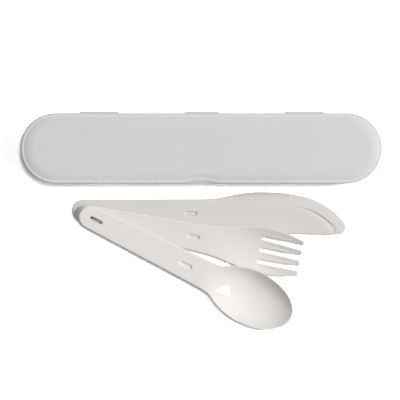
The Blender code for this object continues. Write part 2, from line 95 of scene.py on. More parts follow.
# Thumb scoop at the middle of the front edge
SCOOP_WIDTH = 0.022
SCOOP_DEPTH = 0.0020
LID_NOTCH_DEPTH = 0.0005
TRAY_NOTCH_DEPTH = 0.0004
SCOOP_STEPS = 28

# Living hinge webs
WEB_THICKNESS = 0.0005
WEB_END_SLANT = 0.0008
WEB_SEAT = 0.0002
WEB_ARC_STEPS = 16
WEB_WIDTH_STEPS = 12

# What the three utensils share
EDGE_RADIUS = 0.0009
MOST_EDGE_SHARE = 1.0 / 2.2
EDGE_STEPS = 5
HOLE_EDGE_RADIUS = 0.0003
SLOT_FROM_END = 0.0118
SLOT_LENGTH = 0.0087
SLOT_WIDTH = 0.0021
POCKET_FROM_END = 0.0756
POCKET_LENGTH = 0.0083
POCKET_WIDTH = 0.0027
POCKET_DEPTH = 0.0008
ROUND_END_STEPS = 12
REST_FROM_END = 0.010
GRID_SPACING = 0.0014
CREASE_SPACING = 0.0004
PLAN_SCALE = 1000.0
TRIANGLES_INSIDE = 1

# Knife
KNIFE_LENGTH = 0.1748
KNIFE_THICKNESS = 0.0022
KNIFE_HANDLE_HALF = 0.0075
KNIFE_NECK_HALF = 0.0095
KNIFE_NECK_AT = 0.0845
BLADE_BELLY_HALF = 0.0155
BLADE_SPINE_HALF = 0.0117
SPINE_BLEND = 0.012
# The cutting edge from the neck to the tip: shares of the blade's length and of its belly's half width
CUTTING_EDGE_SHAPE = (
    (0.088, 0.663),
    (0.17, 0.773),
    (0.32, 0.924),
    (0.46, 0.948),
    (0.60, 0.898),
    (0.74, 0.748),
    (0.85, 0.468),
    (0.93, 0.137),
    (0.986, -0.20),
    (1.0, -0.385),
)
TIP_HEEL_SHAPE = ((0.988, -0.64), (0.93, -0.73))
BEVEL_WIDTH = 0.0063
BEVEL_DEPTH = 0.0007
BEVEL_RUN_IN = 0.012
# The groove beyond the bevel's foot: steep on the bevel's side, with places along the knife
GROOVE_SETBACK = 0.0011
GROOVE_DEPTH = 0.0009
GROOVE_WALL_WIDTH = 0.0006
GROOVE_SLOPE_WIDTH = 0.0022
GROOVE_FROM = 0.140
GROOVE_FULL_AT = 0.158
GROOVE_TO = 0.1682
GROOVE_END_WIDTH = 0.0005
KNIFE_END = Vector((-0.0825, -0.0398))
KNIFE_HEADING = math.radians(-1.3)

# Fork
FORK_LENGTH = 0.1459
FORK_THICKNESS = 0.0022
FORK_TIP_THICKNESS = 0.0015
FORK_HANDLE_HALF = 0.0072
FORK_NECK_HALF = 0.0089
FORK_NECK_AT = 0.075
FORK_HEAD_HALF = 0.0149
FORK_TIP_HALF = 0.0117
# The head from the neck to the tips: shares of its length and of its greatest half width
FORK_HEAD_SHAPE = ((0.20, 0.667), (0.38, 0.825), (0.53, 0.955), (0.67, 1.0), (0.81, 0.95))
FORK_DIP_AT = 0.082
FORK_BELLY_DROP = 0.0030
FORK_BELLY_AT = 0.117
FORK_TIP_RISE = 0.003
FORK_RISE_POWER = 1.8
FORK_DISH = 0.0036
TINE_ROOT_AT = 0.1192
TINE_GAP_ROOT = 0.0020
TINE_GAP_TIP = 0.0028
TINE_GAP_OFFSET_ROOT = 0.0076
TINE_GAP_OFFSET_TIP = 0.0068
FORK_END = Vector((-0.0794, -0.0415))
FORK_HEADING = math.radians(-11.2)
FORK_ROLL = math.radians(5.0)

# Spoon
SPOON_LENGTH = 0.1508
SPOON_THICKNESS = 0.0022
SPOON_HANDLE_HALF = 0.0072
SPOON_NECK_HALF = 0.0093
SPOON_NECK_AT = 0.0910
BOWL_LENGTH = 0.058
BOWL_WIDTH = 0.0346
BOWL_DEPTH = 0.0080
BOWL_START_AT = 0.0870
BOWL_DEEPEST_AT = 0.1230
BOWL_FLOOR_THICKNESS = 0.0018
BOWL_SIDE_POWER = 2.6
NECK_BLEND = 0.0022
SPOON_END = Vector((-0.0775, -0.0406))
SPOON_HEADING = math.radians(-26.6)

# Fineness of the utensils' outlines
BLADE_STEPS = 9
FORK_SIDE_STEPS = 9
SPOON_OUTLINE_STEPS = 90

# Photograph's frame: it looks straight down at one scale, and the image is 400 by 400 pixels
IMAGE_PIXELS = 400
METRES_PER_PIXEL = 0.000637
CASE_CENTRE_PIXEL = (201.4, 148.4)
CAMERA_HEIGHT = 5.0
SENSOR_WIDTH = 36.0

# Light, in shares of a flat white surface's brightness
AMBIENT_SHARE = 0.12
LAMP_DISTANCE = 4.0
# Lamps: name, share, azimuth and elevation in degrees, width and height, and whether reflections show it
LAMPS = (
    ("key", 0.58, 16.0, 44.0, (1.2, 1.2), False),
    ("top", 0.22, 72.0, 83.0, (0.5, 0.5), False),
    ("window", 0.07, -15.0, 53.0, (1.3, 0.25), True),
)

# Floor: its own tone, and what reflections and the camera take it for
FLOOR_HALF = 4.0
FLOOR_DROP = 0.00005
FLOOR_TONE = 0.40
FLOOR_REFLECTED = 1.0
FLOOR_SEEN = 2.8

# Plastics: tone as linear colour, roughness, how much paler an edge is (a painted highlight), depths of grain
# and sinks, gloss coat
PLASTICS = {
    "case": ((0.650, 0.636, 0.641), 0.42, 1.35, 0.000006, 0.00004, 0.0),
    "web": ((0.630, 0.617, 0.622), 0.45, 1.10, 0.000006, 0.00002, 0.0),
    "knife": ((0.650, 0.625, 0.603), 0.48, 1.06, 0.000004, 0.00003, 0.3),
    "fork": ((0.740, 0.713, 0.690), 0.48, 1.06, 0.000004, 0.00003, 0.3),
    "spoon": ((0.765, 0.740, 0.716), 0.48, 1.06, 0.000004, 0.00003, 0.3),
}
COAT_ROUGHNESS = 0.05
TONE_SPREAD = 0.012
ROUGHNESS_SPREAD = 0.04
FLOW_STRETCH = 4.0
CLOUD_SCALE = 90.0
SPECK_SCALE = 1400.0
SINK_SCALE = 60.0
SUBSURFACE_WEIGHT = 0.06
SUBSURFACE_RADIUS = (1.0, 0.9, 0.8)
SUBSURFACE_SCALE = 0.0012

# Shares that a noise mostly stays between, and the colour mixing node's sockets
NOISE_LOW = 0.3
NOISE_HIGH = 0.7
MIX_SHARE, MIX_LOW, MIX_HIGH = 0, 6, 7
MIX_RESULT = 2


def smoothstep(value):
    value = np.clip(value, 0.0, 1.0)
    return value * value * (3.0 - 2.0 * value)


def unit(vectors):
    return vectors / np.linalg.norm(vectors, axis=1, keepdims=True)


def arc_points(centre, radii, start, end, steps):
    """Points of an elliptical arc, both ends included."""
    angles = np.linspace(start, end, steps + 1)
    across = centre[0] + radii[0] * np.cos(angles)
    up = centre[1] + radii[1] * np.sin(angles)
    return np.column_stack((across, up))


def add_piece(name, mesh_data, paleness, material):
    """Turn a bmesh into a smooth-shaded piece that carries how pale each point is: a painted edge highlight,
    or whitening at a hinge's fold.
    """
    bmesh.ops.recalc_face_normals(mesh_data, faces=mesh_data.faces)
    mesh = bpy.data.meshes.new(name)
    mesh_data.to_mesh(mesh)
    mesh_data.free()
    mesh.shade_smooth()
    mesh.set_sharp_from_angle(angle=SHARP_ANGLE)
    attribute = mesh.attributes.new(HIGHLIGHT_AND_WEAR, "FLOAT", "POINT")
    attribute.data.foreach_set("value", np.array(paleness, np.float32))
    mesh.materials.append(material)
    piece = bpy.data.objects.new(name, mesh)
    bpy.context.scene.collection.objects.link(piece)
    return piece


# Case: stacks of pill-shaped rings through a softened profile of (radius, height, inward shift at the scoop)

def soften(profile):
    """Replace each corner by a small curve. A profile point is (radius, height, shift, rounding, paleness),
    where paleness is a painted highlight.
    """
    rings = [(*profile[0][:3], 0.0)]
    for before, corner, after in zip(profile, profile[1:], profile[2:]):
        point = np.array(corner[:3])
        rounding, least_pale = corner[3:]
        if rounding == 0.0:
            rings.append((*point, 0.0))
            continue
        to_before = np.array(before[:3]) - point
        to_after = np.array(after[:3]) - point
        first = point + to_before * rounding / np.hypot(*to_before[:2])
        last = point + to_after * rounding / np.hypot(*to_after[:2])
        # Painted highlight: each rounded corner is made paler, most at its middle.
        for t in np.linspace(0.0, 1.0, ROUNDING_STEPS + 1):
            place = (1 - t) ** 2 * first + 2 * t * (1 - t) * point + t * t * last
            rings.append((*place, max(least_pale, 1.0 - abs(2.0 * t - 1.0))))
    rings.append((*profile[-1][:3], 0.0))
    return rings


def pill_spokes():
    """Pairs of a point on the case's middle line and the direction in which the rings grow from it."""
    half = (CASE_LENGTH - CASE_WIDTH) / 2
    spokes = []
    for angle in np.linspace(-math.pi / 2, math.pi / 2, END_ARC_STEPS + 1):
        spokes.append((half, (math.cos(angle), math.sin(angle))))
    for angle in np.linspace(math.pi / 2, 3 * math.pi / 2, END_ARC_STEPS + 1):
        spokes.append((-half, (math.cos(angle), math.sin(angle))))
    for middle in np.linspace(-SCOOP_WIDTH / 2, SCOOP_WIDTH / 2, SCOOP_STEPS + 1):
        spokes.append((middle, (0.0, -1.0)))
    return spokes


def scoop_shape(middle, direction):
    """How much of the scoop's depth applies at a spoke: an arch across the middle of the front."""
    if abs(direction[0]) > TINY or direction[1] > 0.0:
        return 0.0
    return max(0.0, 1.0 - (2.0 * middle / SCOOP_WIDTH) ** 2)


def pill_shell(name, rings, material):
    """Skin a shell through its rings and close it at both ends."""
    spokes = pill_spokes()
    mesh_data = bmesh.new()
    paleness = []
    loops = []
    for radius, height, shift, pale_share in rings:
        loop = []
        for middle, direction in spokes:
            reach = radius - shift * scoop_shape(middle, direction)
            loop.append(mesh_data.verts.new((middle + reach * direction[0], reach * direction[1], height)))
        loops.append(loop)
        paleness += [pale_share] * len(loop)
    for lower, upper in zip(loops, loops[1:]):
        for here in range(len(spokes)):
            after = (here + 1) % len(spokes)
            mesh_data.faces.new((lower[here], lower[after], upper[after], upper[here]))
    mesh_data.faces.new(loops[0])
    mesh_data.faces.new(loops[-1])
    return add_piece(name, mesh_data, paleness, material)


def plain(points):
    """Profile points of a curve that isn't softened."""
    return [(*point, 0.0, 0.0, 0.0) for point in points]


def tray_shell(material):
    """The tray: rounded underside, drafted wall, softened rim flange, lip and hollow."""
    rim = CASE_WIDTH / 2
    wall = rim - FLANGE_OVERHANG
    foot = wall - TRAY_DRAFT
    inside = wall - CASE_WALL
    inner_foot = foot - CASE_WALL
    inner_radius = TRAY_EDGE_RADIUS - CASE_WALL
    flange_under = TRAY_TOP - FLANGE_THICKNESS
    outer_centre = (foot - TRAY_EDGE_RADIUS, TRAY_EDGE_RADIUS)
    inner_centre = (inner_foot - inner_radius, CASE_WALL + inner_radius)
    profile = [(outer_centre[0] - FLAT_MARGIN, 0.0, 0.0, 0.0, 0.0)]
    profile += plain(arc_points(outer_centre, (TRAY_EDGE_RADIUS,) * 2, -math.pi / 2, 0.0, EDGE_ARC_STEPS))
    profile.append((wall, flange_under, 0.0, CORNER_ROUNDING, 0.0))
    # Painted highlight: the whole rim flange is made paler, as if lit.
    profile.append((rim, flange_under, TRAY_NOTCH_DEPTH, FLANGE_ROUNDING, 1.0))
    profile.append((rim, TRAY_TOP, TRAY_NOTCH_DEPTH, FLANGE_ROUNDING, 1.0))
    profile.append((inside + LIP_THICKNESS, TRAY_TOP, 0.0, LIP_ROUNDING, 0.0))
    profile.append((inside + LIP_THICKNESS, LIP_TOP, 0.0, LIP_ROUNDING, 0.0))
    profile.append((inside, LIP_TOP, 0.0, LIP_ROUNDING, 0.0))
    profile += plain(arc_points(inner_centre, (inner_radius,) * 2, 0.0, -math.pi / 2, EDGE_ARC_STEPS))
    profile.append((inner_centre[0] - FLAT_MARGIN, CASE_WALL, 0.0, 0.0, 0.0))
    return pill_shell("tray_shell", soften(profile), material)


def shoulder_points(wall, top, edge_radius, notch):
    """The lid's profile from its flat top over crown, ledge and round edge to a wall."""
    ledge_end = wall - edge_radius
    crown_start = ledge_end - LID_LEDGE_WIDTH - LID_CROWN_WIDTH
    crown_radius = LID_CROWN_WIDTH / math.sin(LID_CROWN_TILT)
    crown_end = math.pi / 2 - LID_CROWN_TILT
    centre = (crown_start, top - crown_radius)
    crown = arc_points(centre, (crown_radius,) * 2, math.pi / 2, crown_end, EDGE_ARC_STEPS)
    ledge_height = crown[-1][1]
    points = []
    for across, height in np.vstack((crown, [(ledge_end, ledge_height)])):
        drawn_in = smoothstep((across - crown_start) / (ledge_end - crown_start))
        rounding = LEDGE_ROUNDING if across == crown[-1][0] else 0.0
        points.append((across, height, SCOOP_DEPTH * drawn_in, rounding, 0.0))
    centre = (ledge_end, ledge_height - edge_radius)
    for across, height in arc_points(centre, (edge_radius,) * 2, math.pi / 2, 0.0, EDGE_ARC_STEPS)[1:]:
        high = (height - centre[1]) / edge_radius
        points.append((across, height, notch + (SCOOP_DEPTH - notch) * high, 0.0, 0.0))
    return points


def lid_shell(material):
    """The cover: flat top, crowned shoulder, ledge, round edge, and a straight wall over the tray's lip."""
    rim = CASE_WIDTH / 2
    inside = rim - FLANGE_OVERHANG - CASE_WALL + LIP_THICKNESS + GAP
    outer_shoulder = shoulder_points(rim, LID_TOP, LID_EDGE_RADIUS, LID_NOTCH_DEPTH)
    inner_shoulder = shoulder_points(inside, LID_TOP - CASE_WALL, LID_EDGE_RADIUS / 2, 0.0)
    profile = [(outer_shoulder[0][0] - FLAT_MARGIN, LID_TOP, 0.0, 0.0, 0.0)]
    profile += outer_shoulder
    # Painted highlight: the lid's rim is made paler, as if lit.
    profile.append((rim, LID_UNDER, LID_NOTCH_DEPTH, FLANGE_ROUNDING, 1.0))
    profile.append((inside, LID_UNDER, 0.0, LIP_ROUNDING, 0.0))
    profile += inner_shoulder[::-1]
    profile.append((inner_shoulder[0][0] - FLAT_MARGIN, LID_TOP - CASE_WALL, 0.0, 0.0, 0.0))
    return pill_shell("lid_shell", soften(profile), material)


def hinge_web(name, node, material):
    """A thin web that loops from the tray's flange to the lid's, with slanted ends."""
    low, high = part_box(node)
    face = low.y - GAP - WEB_SEAT
    reach = high.y - low.y
    half_height = (high.z - low.z) / 2
    centre = (face, (high.z + low.z) / 2)
    outer = arc_points(centre, (reach, half_height), -math.pi / 2, math.pi / 2, WEB_ARC_STEPS)
    inner_radii = (reach - WEB_THICKNESS, half_height - WEB_THICKNESS)
    inner = arc_points(centre, inner_radii, math.pi / 2, -math.pi / 2, WEB_ARC_STEPS)
    section = np.vstack((outer, inner))
    middle = (high.x + low.x) / 2
    mesh_data = bmesh.new()
    loops = []
    for share in np.linspace(-1.0, 1.0, WEB_WIDTH_STEPS + 1):
        loop = []
        for out, height in section:
            half = (high.x - low.x) / 2 - WEB_END_SLANT * (out - face) / reach
            loop.append(mesh_data.verts.new((middle + share * half, out, height)))
        loops.append(loop)
    count = len(section)
    for left, right in zip(loops, loops[1:]):
        for here in range(count):
            after = (here + 1) % count
            mesh_data.faces.new((left[here], left[after], right[after], right[here]))
    for here in range(WEB_ARC_STEPS):
        back = count - 1 - here
        for loop in (loops[0], loops[-1]):
            mesh_data.faces.new((loop[here], loop[here + 1], loop[back - 1], loop[back]))
    stress = np.exp(-((section[:, 1] - centre[1]) / WEB_THICKNESS) ** 2)
    paleness = np.tile(stress, WEB_WIDTH_STEPS + 1)
    return add_piece(name, mesh_data, paleness, material)


# Utensils: plates with a plan outline, holes and pockets, and a height over each point of the plan

def smooth_path(points, steps):
    """A centripetal Catmull-Rom curve through the points, without its last point."""
    guide = [np.array(p) for p in points]
    guide.insert(0, 2 * guide[0] - guide[1])
    guide.append(2 * guide[-1] - guide[-2])
    path = []
    for p0, p1, p2, p3 in zip(guide, guide[1:], guide[2:], guide[3:]):
        t1 = np.linalg.norm(p1 - p0) ** 0.5
        t2 = t1 + np.linalg.norm(p2 - p1) ** 0.5
        t3 = t2 + np.linalg.norm(p3 - p2) ** 0.5
        for step in range(steps):
            t = t1 + (t2 - t1) * step / steps
            a1 = p0 + (p1 - p0) * t / t1
            a2 = p1 + (p2 - p1) * (t - t1) / (t2 - t1)
            a3 = p2 + (p3 - p2) * (t - t2) / (t3 - t2)
            b1 = a1 + (a2 - a1) * t / t2
            b2 = a2 + (a3 - a2) * (t - t1) / (t3 - t1)
            path.append(b1 + (b2 - b1) * (t - t1) / (t2 - t1))
    return np.array(path)


def mirrored(path):
    """The same path on the other side of the utensil's middle line, from its far end back."""
    return path[::-1] * (1.0, -1.0)


def round_bar(start, length, width):
    """A bar with round ends along the utensil, as a counter-clockwise loop."""
    radii = (width / 2, width / 2)
    reach = (length - width) / 2
    near = arc_points((start - reach, 0.0), radii, math.pi / 2, 3 * math.pi / 2, ROUND_END_STEPS)
    far = arc_points((start + reach, 0.0), radii, -math.pi / 2, math.pi / 2, ROUND_END_STEPS)
    return np.vstack((near, far))


def inset(loop, distance):
    """Move a counter-clockwise loop inwards, or outwards where the distance is negative."""
    before = unit(loop - np.roll(loop, 1, axis=0))
    after = unit(np.roll(loop, -1, axis=0) - loop)
    across = np.column_stack((-after[:, 1], after[:, 0]))
    normal = unit(np.column_stack((-before[:, 1] - after[:, 1], before[:, 0] + after[:, 0])))
    spread = np.maximum(0.5, (normal * across).sum(axis=1))
    return loop + normal * (distance / spread)[:, None]


def inside_loop(points, loop):
    """Which of the points lie inside the closed loop."""
    a = loop
    b = np.roll(loop, 1, axis=0)
    rise = np.where(b[:, 1] == a[:, 1], 1.0, b[:, 1] - a[:, 1])
    x, y = points[:, 0:1], points[:, 1:2]
    crosses = (a[:, 1] > y) != (b[:, 1] > y)
    left_of = x < (b[:, 0] - a[:, 0]) * (y - a[:, 1]) / rise + a[:, 0]
    return (crosses & left_of).sum(axis=1) % 2 == 1


def distance_to_path(points, path):
    """Each point's shortest distance to an open path."""
    spans = path[1:] - path[:-1]
    offsets = points[:, None, :] - path[None, :-1, :]
    along = (offsets * spans).sum(axis=2) / (spans ** 2).sum(axis=1)
    along = np.clip(along, 0.0, 1.0)[:, :, None]
    return np.linalg.norm(offsets - along * spans, axis=2).min(axis=1)


def grid_points(outer, holes, spacing):
    """A triangular grid of points inside the outer loop, clear of it and of the holes."""
    low, high = outer.min(axis=0), outer.max(axis=0)
    rows = []
    for row, x in enumerate(np.arange(low[0], high[0], spacing * math.sqrt(3.0) / 2)):
        y = np.arange(low[1] - spacing, high[1] + spacing, spacing) + 0.5 * (row % 2) * spacing
        rows.append(np.column_stack((np.full(len(y), x), y)))
    points = np.vstack(rows)
    keep = inside_loop(points, outer)
    for hole in holes:
        keep &= ~inside_loop(points, hole)
    points = points[keep]
    for loop in [outer] + holes:
        points = points[distance_to_path(points, np.vstack((loop, loop[:1]))) > spacing / 2]
    return points


def resampled(path, spacing):
    """Points along an open path at an even spacing."""
    reached = np.concatenate(([0.0], np.cumsum(np.linalg.norm(path[1:] - path[:-1], axis=1))))
    stops = np.linspace(0.0, reached[-1], int(reached[-1] / spacing) + 1)
    return np.column_stack([np.interp(stops, reached, path[:, axis]) for axis in (0, 1)])


class Plate:
    """A utensil's mesh while it is being made, with the paleness of each of its points, a painted edge
    highlight.
    """

    def __init__(self):
        self.mesh_data = bmesh.new()
        self.paleness = []

    def ring(self, loop, heights, pale_share):
        self.paleness += [pale_share] * len(loop)
        return [self.mesh_data.verts.new((p[0], p[1], z)) for p, z in zip(loop, heights)]

    def join(self, rings):
        for low, high in zip(rings, rings[1:]):
            for here in range(len(low)):
                after = (here + 1) % len(low)
                self.mesh_data.faces.new((low[here], low[after], high[after], high[here]))

    def side(self, loop, top, under, radius):
        """The round-edged side of the plate or of a hole; returns its top and bottom rings."""
        turns = np.linspace(0.0, math.pi / 2, EDGE_STEPS + 1)
        rings = []
        for face, way, order in ((top, -1.0, turns), (under, 1.0, turns[::-1])):
            for turn in order:
                moved = inset(loop, radius * (1.0 - math.sin(turn)))
                most = MOST_EDGE_SHARE * (top(moved) - under(moved))
                depth = np.minimum(abs(radius), most) * (1.0 - math.cos(turn))
                # Painted highlight: paler over the round edge, most at its middle.
                rings.append(self.ring(moved, face(moved) + way * depth, math.sin(2.0 * turn)))
        self.join(rings)
        return rings[0], rings[-1]

    def pocket(self, loop, top, depth, radius):
        """A recess with a round rim and a round foot; returns its top ring."""
        turns = np.linspace(0.0, math.pi / 2, EDGE_STEPS + 1)
        rings = []
        for turn in turns:
            moved = inset(loop, -radius * (1.0 - math.sin(turn)))
            heights = top(moved) - radius * (1.0 - math.cos(turn))
            # Painted highlight: paler over the pocket's round rim.
            rings.append(self.ring(moved, heights, math.sin(2.0 * turn)))
        for turn in turns:
            moved = inset(loop, radius * (1.0 - math.cos(turn)))
            heights = top(moved) - depth + radius * (1.0 - math.sin(turn))
            rings.append(self.ring(moved, heights, 0.0))
        self.join(rings)
        self.mesh_data.faces.new(rings[-1])
        return rings[0]

    def cap(self, rings, height, spacing, lines):
        """Triangulate between the rings, over a grid of extra points, with an edge along each line."""
        verts = [v for ring in rings for v in ring]
        loops = [np.array([v.co[:2] for v in ring]) for ring in rings]
        outer, *holes = loops
        grid = grid_points(outer, holes, spacing)
        for line in lines:
            grid = grid[distance_to_path(grid, line) > CREASE_SPACING]
        plan = np.vstack(loops + lines + [grid])
        edges = []
        first = 0
        for loop in loops:
            edges += [(first + here, first + (here + 1) % len(loop)) for here in range(len(loop))]
            first += len(loop)
        for line in lines:
            edges += [(first + here, first + here + 1) for here in range(len(line) - 1)]
            first += len(line)
        scaled = [Vector(p) for p in plan * PLAN_SCALE]
        out, _, faces, origins, _, _ = delaunay_2d_cdt(scaled, edges, [], TRIANGLES_INSIDE, TINY, True)
        places = np.array([p[:] for p in out]) / PLAN_SCALE
        middles = places[np.array(faces)].mean(axis=1)
        keep = inside_loop(middles, outer)
        for hole in holes:
            keep &= ~inside_loop(middles, hole)
        heights = height(places)
        made = {}
        for corner, source in enumerate(origins):
            if source and min(source) < len(verts):
                made[corner] = verts[min(source)]
        for face in [face for face, kept in zip(faces, keep) if kept]:
            for corner in face:
                if corner not in made:
                    made[corner] = self.mesh_data.verts.new((*places[corner], heights[corner]))
                    self.paleness.append(0.0)
            self.mesh_data.faces.new([made[corner] for corner in face])


def utensil(name, outline, top, under, material, creases=()):
    """A utensil from its outline and heights, with its hanging slot, its pocket and creases on top."""
    plate = Plate()
    slot = round_bar(SLOT_FROM_END, SLOT_LENGTH, SLOT_WIDTH)
    pocket = round_bar(POCKET_FROM_END, POCKET_LENGTH, POCKET_WIDTH)
    outer_top, outer_under = plate.side(outline, top, under, EDGE_RADIUS)
    slot_top, slot_under = plate.side(slot, top, under, -HOLE_EDGE_RADIUS)
    pocket_top = plate.pocket(pocket, top, POCKET_DEPTH, HOLE_EDGE_RADIUS)
    plate.cap([outer_top, slot_top, pocket_top], top, GRID_SPACING, list(creases))
    plate.cap([outer_under, slot_under], under, GRID_SPACING, [])
    return add_piece(name, plate.mesh_data, plate.paleness, material)


def set_down(piece, end, heading, roll, lift, drop, at):
    """Rest a utensil's handle end at its lift, and its belly, which drops below the handle, on the table."""
    slope = (drop - lift) / (at - REST_FROM_END)
    turn = Euler((roll, -math.atan(slope), heading), "XYZ").to_matrix().to_4x4()
    piece.data.transform(Matrix.Translation((end.x, end.y, lift - REST_FROM_END * slope)) @ turn)


def handle_end(half):
    """The round handle end, from its point on the middle line to where its upper side starts."""
    return arc_points((half, 0.0), (half, half), math.pi, math.pi / 2, ROUND_END_STEPS)


def blade_points(shape):
    blade = KNIFE_LENGTH - KNIFE_NECK_AT
    return [(KNIFE_NECK_AT + along * blade, across * BLADE_BELLY_HALF) for along, across in shape]


def knife_blade_path():
    """The blade's outline from the neck along the cutting edge, around the tip and back along the spine."""
    spine = -BLADE_SPINE_HALF
    heel = blade_points(TIP_HEEL_SHAPE)
    spine_ends = (heel[-1][0] - SPINE_BLEND, KNIFE_NECK_AT + 2 * SPINE_BLEND)
    points = [(KNIFE_NECK_AT, KNIFE_NECK_HALF)]
    points += blade_points(CUTTING_EDGE_SHAPE)
    points += heel
    points.append((spine_ends[0], spine))
    points.append((sum(spine_ends) / 2, spine))
    points.append((spine_ends[1], spine))
    points.append((KNIFE_NECK_AT + SPINE_BLEND, (2 * spine - KNIFE_NECK_HALF) / 3))
    points.append((KNIFE_NECK_AT, -KNIFE_NECK_HALF))
    return points


def knife_body(material):
    """A table knife with one convex, bevelled edge, a groove along the bevel's foot and a straight back."""
    end = handle_end(KNIFE_HANDLE_HALF)
    blade = smooth_path(knife_blade_path(), BLADE_STEPS)
    outline = np.vstack((end, blade, [(KNIFE_NECK_AT, -KNIFE_NECK_HALF)], mirrored(end[1:])))[::-1]
    cutting_edge = blade[:len(CUTTING_EDGE_SHAPE) * BLADE_STEPS + 1]

    def bevel(p):
        near = np.maximum(0.0, 1.0 - distance_to_path(p, cutting_edge) / BEVEL_WIDTH)
        return BEVEL_DEPTH * near * smoothstep((p[:, 0] - KNIFE_NECK_AT) / BEVEL_RUN_IN)

    def groove(p):
        off = distance_to_path(p, cutting_edge) - BEVEL_WIDTH - GROOVE_SETBACK
        shape = np.where(off < 0.0, 1.0 + off / GROOVE_WALL_WIDTH, 1.0 - off / GROOVE_SLOPE_WIDTH)
        starts = smoothstep((p[:, 0] - GROOVE_FROM) / (GROOVE_FULL_AT - GROOVE_FROM))
        ends = smoothstep((GROOVE_TO - p[:, 0]) / GROOVE_END_WIDTH)
        return GROOVE_DEPTH * np.maximum(0.0, shape) * starts * ends

    def top(p):
        return KNIFE_THICKNESS - bevel(p) - groove(p)

    lines = []
    for off in (-GROOVE_WALL_WIDTH, 0.0, GROOVE_SLOPE_WIDTH):
        line = inset(outline, BEVEL_WIDTH + GROOVE_SETBACK + off)
        line = line[(outline[:, 1] > 0.0) & (line[:, 0] > GROOVE_FROM - CREASE_SPACING)]
        lines.append(resampled(line[line[:, 0] < GROOVE_TO], CREASE_SPACING))
    piece = utensil("knife_body", outline, top, bevel, material, lines)
    set_down(piece, KNIFE_END, KNIFE_HEADING, 0.0, 0.0, 0.0, KNIFE_LENGTH)
    return piece


def fork_side():
    """The fork's half width from the neck to the round end of the outer tine."""
    head = FORK_LENGTH - FORK_NECK_AT
    points = [(FORK_NECK_AT, FORK_NECK_HALF)]
    points += [(FORK_NECK_AT + along * head, across * FORK_HEAD_HALF) for along, across in FORK_HEAD_SHAPE]
    points.append((FORK_LENGTH - TINE_GAP_TIP / 2, FORK_TIP_HALF))
    return points


def tine_tip(low, high):
    """The round end of a tine between two widths, from the higher to the lower one."""
    radius = (high - low) / 2
    centre = (FORK_LENGTH - radius, (high + low) / 2)
    return arc_points(centre, (radius, radius), math.pi / 2, -math.pi / 2, ROUND_END_STEPS)


def tine_root(offset):
    """The round root of the gap between two tines, from its upper to its lower side."""
    root = TINE_GAP_ROOT / 2
    centre = (TINE_ROOT_AT + root, offset)
    return arc_points(centre, (root, root), math.pi / 2, 3 * math.pi / 2, ROUND_END_STEPS)


def fork_outline():
    """Round handle end, neck, and a head of four tines, as a counter-clockwise loop."""
    half_gap = TINE_GAP_TIP / 2
    near = np.vstack((handle_end(FORK_HANDLE_HALF), smooth_path(fork_side(), FORK_SIDE_STEPS)))
    parts = [near]
    high = FORK_TIP_HALF
    for side in (1.0, 0.0, -1.0):
        tip = side * TINE_GAP_OFFSET_TIP
        parts.append(tine_tip(tip + half_gap, high))
        parts.append(tine_root(side * TINE_GAP_OFFSET_ROOT))
        high = tip - half_gap
    parts.append(tine_tip(-FORK_TIP_HALF, high))
    parts.append(mirrored(near[1:]))
    return np.vstack(parts)[::-1]


def fork_middle(x):
    """Height of the fork's underside along its middle line: straight handle, belly, rising tines."""
    fall = -FORK_BELLY_DROP * smoothstep((x - FORK_DIP_AT) / (FORK_BELLY_AT - FORK_DIP_AT))
    rise = np.maximum(0.0, (x - FORK_BELLY_AT) / (FORK_LENGTH - FORK_BELLY_AT))
    return fall + (FORK_BELLY_DROP + FORK_TIP_RISE) * rise ** FORK_RISE_POWER


def fork_lift():
    """Height of the fork's handle end, clear of the knife with its lower edge."""
    return KNIFE_THICKNESS + GAP + FORK_HANDLE_HALF * math.sin(FORK_ROLL)


def fork_body(material):
    """A fork with four tines and a shallow dished head, resting on the knife's handle."""
    def under(p):
        dish = FORK_DISH * smoothstep((p[:, 0] - FORK_DIP_AT) / (FORK_BELLY_AT - FORK_DIP_AT))
        return fork_middle(p[:, 0]) + dish * (p[:, 1] / FORK_HEAD_HALF) ** 2

    def top(p):
        thin = smoothstep((p[:, 0] - FORK_BELLY_AT) / (FORK_LENGTH - FORK_BELLY_AT))
        return under(p) + FORK_THICKNESS + (FORK_TIP_THICKNESS - FORK_THICKNESS) * thin

    piece = utensil("fork_body", fork_outline(), top, under, material)
    sag = (FORK_HEAD_HALF * math.tan(FORK_ROLL)) ** 2 / (4 * FORK_DISH)
    set_down(piece, FORK_END, FORK_HEADING, FORK_ROLL, fork_lift(), FORK_BELLY_DROP + sag, FORK_BELLY_AT)
    return piece


def spoon_half_width(x):
    """Half width of the spoon: round handle end, tapering handle, and an elliptical bowl."""
    slope = (SPOON_NECK_HALF - SPOON_HANDLE_HALF) / (SPOON_NECK_AT - SPOON_HANDLE_HALF)
    handle = SPOON_HANDLE_HALF + slope * (x - SPOON_HANDLE_HALF)
    end = np.sqrt(np.maximum(0.0, SPOON_HANDLE_HALF ** 2 - (SPOON_HANDLE_HALF - x) ** 2))
    handle = np.where(x < SPOON_HANDLE_HALF, end, handle)
    along = (x - SPOON_LENGTH + BOWL_LENGTH / 2) / (BOWL_LENGTH / 2)
    bowl = BOWL_WIDTH / 2 * np.sqrt(np.maximum(0.0, 1.0 - along ** 2))
    blend = NECK_BLEND * smoothstep((x - POCKET_FROM_END) / (SPOON_NECK_AT - POCKET_FROM_END))
    blended = (handle + bowl + np.sqrt((handle - bowl) ** 2 + blend ** 2)) / 2
    return np.where(along > 0.0, bowl, blended)


def spoon_outline():
    """The spoon's outline as a counter-clockwise loop, with its points closer at both ends."""
    turns = np.linspace(0.0, math.pi, SPOON_OUTLINE_STEPS + 1)
    x = SPOON_LENGTH * (1.0 - np.cos(turns)) / 2
    lower = np.column_stack((x, -spoon_half_width(x)))
    return np.vstack((lower, mirrored(lower[1:-1])))


